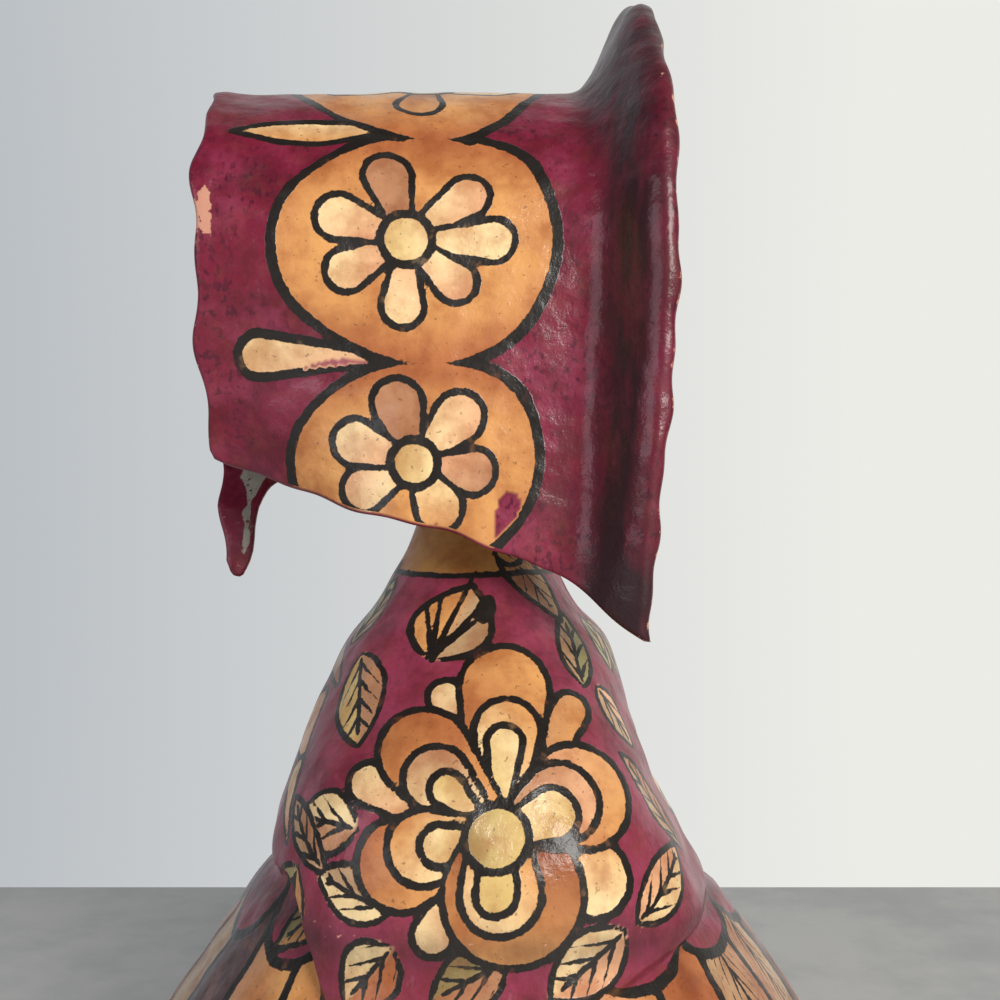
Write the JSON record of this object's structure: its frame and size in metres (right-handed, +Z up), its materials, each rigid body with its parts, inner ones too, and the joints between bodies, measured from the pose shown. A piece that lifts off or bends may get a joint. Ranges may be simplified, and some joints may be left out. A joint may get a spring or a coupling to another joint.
{
  "type": "papier-mache figure of a hooded lady",
  "caption": "Painted papier-mache figure of a lady in a full cape, with a tall arched hood made of one bent sheet; stands on its own flat base as an ornament",
  "frame": {"origin": "middle of the flat base, on the surface that the figure stands on", "axes": "+Z up, +X the way she faces, +Y to her left"},
  "size_m": [0.2658, 0.2654, 0.3993],
  "materials": {
    "painted_body": "papier-mache painted with flowers and leaves in orange, cream and tan on burgundy, black outlines, varnished",
    "painted_hood": "papier-mache sheet painted burgundy with orange roundels and daisies outlined in black, varnished; bare grey paper inside"
  },
  "bodies": {
    "root": {"figure": "painted_body", "hood": "painted_hood"}
  },
  "joints": []
}
